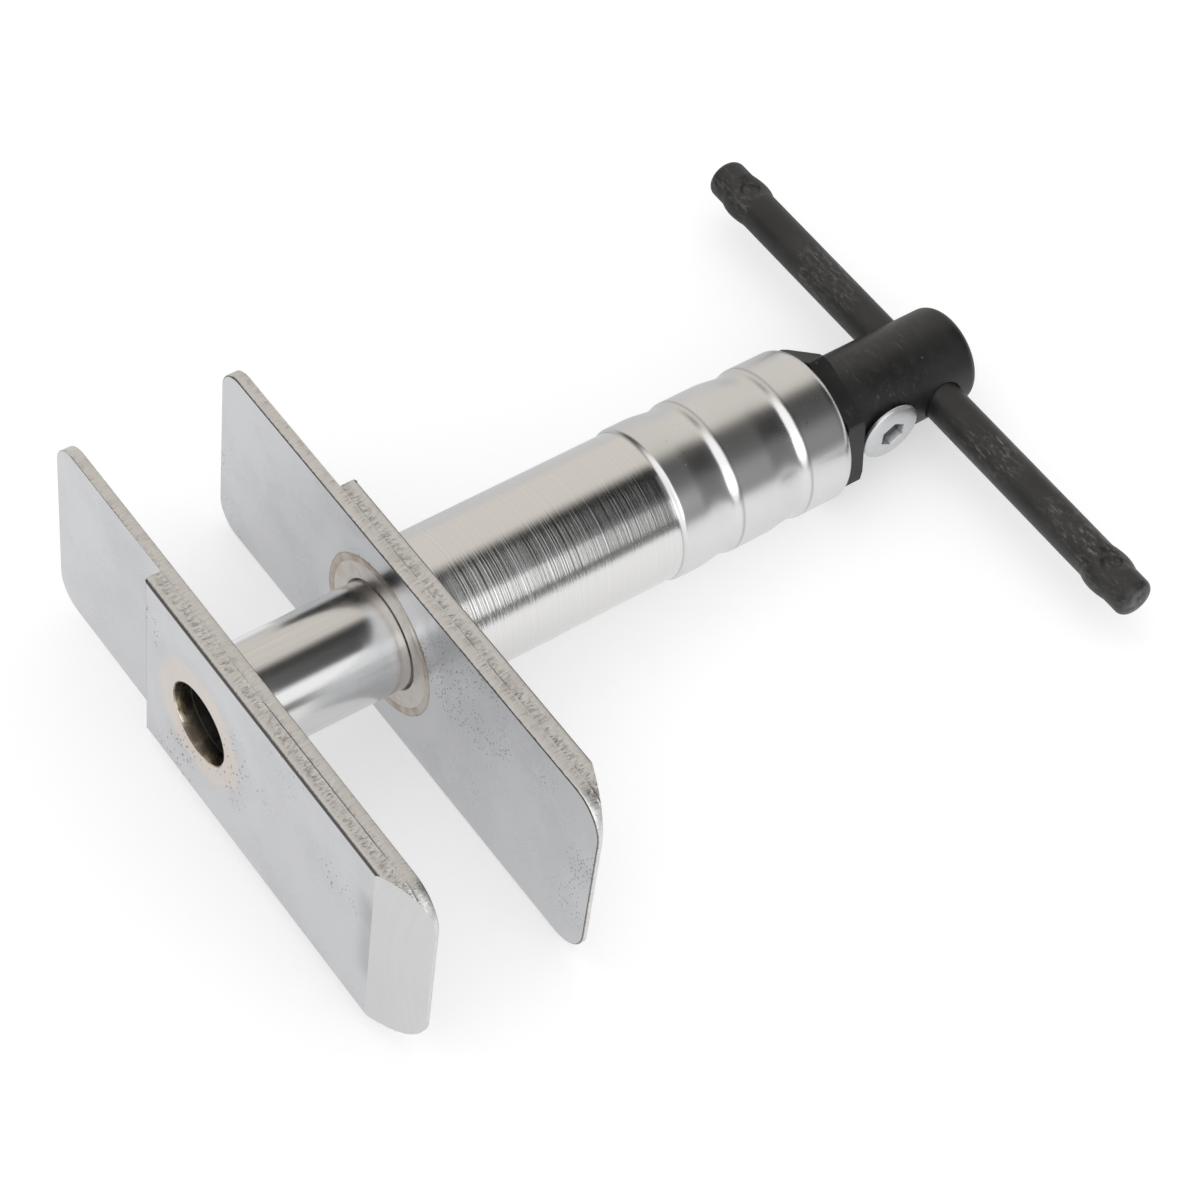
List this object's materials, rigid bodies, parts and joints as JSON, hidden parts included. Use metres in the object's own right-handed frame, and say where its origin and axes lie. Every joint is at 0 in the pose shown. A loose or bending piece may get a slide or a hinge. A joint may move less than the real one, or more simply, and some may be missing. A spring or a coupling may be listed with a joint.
{
  "type": "brake caliper piston tool",
  "caption": "Screw-driven spreader with stepped pressing plates, a telescoping barrel, a hex end nut and a sliding tommy bar, for pushing brake caliper pistons back.",
  "frame": {"origin": "centre of the front hole, on the front plate's outer face", "axes": "+X along the tool axis towards the handle, +Y along the plates towards their thin stepped ends, +Z across the plates"},
  "size_m": [0.1761, 0.134, 0.045],
  "materials": {
    "zinc_plate": "bright zinc, satin",
    "polished_ram": "polished",
    "barrel_steel": "turned, bright zinc",
    "weld_metal": "ground weld with heat tint",
    "black_oxide": "black oxide, satin",
    "zinc_screw": "zinc, satin",
    "spindle_steel": "oiled steel",
    "bearing_steel": "ground",
    "cage_brass": "plain",
    "nut_bronze": "machined"
  },
  "bodies": {
    "barrel": {"outer_barrel": "barrel_steel", "rear_long_plate": "zinc_plate", "rear_backing_plate": "zinc_plate", "rear_weld": "weld_metal", "hex_end_nut": "black_oxide", "rear_race": "bearing_steel"},
    "ram": {"ram_tube": "polished_ram", "drive_nut": "nut_bronze", "front_long_plate": "zinc_plate", "front_backing_plate": "zinc_plate", "front_weld": "weld_metal"},
    "spindle": {"drive_spindle": "spindle_steel", "front_race": "bearing_steel", "handle_hub": "black_oxide", "hub_screw": "zinc_screw"},
    "bearing_cage": {"ball_cage": "cage_brass", "thrust_balls": "bearing_steel"},
    "tommy_bar": {"tommy_bar": "black_oxide"}
  },
  "joints": [
    {"name": "spindle_turn", "type": "hinge", "parent": "barrel", "child": "spindle", "pos_m": [0.1, 0, 0], "axis": [1, 0, 0], "range_deg": [-6720, 1230]},
    {"name": "ram_slide", "type": "slide", "parent": "barrel", "child": "ram", "axis": [-1, 0, 0], "range_m": [-0.0327, 0.006]},
    {"name": "cage_turn", "type": "hinge", "parent": "barrel", "child": "bearing_cage", "pos_m": [0.1, 0, 0], "axis": [1, 0, 0], "range_deg": [-3365, 620]},
    {"name": "tommy_bar_slide", "type": "slide", "parent": "spindle", "child": "tommy_bar", "axis": [0, 1, 0], "range_m": [-0.0396, 0.0462]}
  ],
  "couplings": [
    {"joint": "ram_slide", "follows": "spindle_turn", "m_per_rad": 0.00027852},
    {"joint": "cage_turn", "follows": "spindle_turn", "ratio": 0.5}
  ]
}
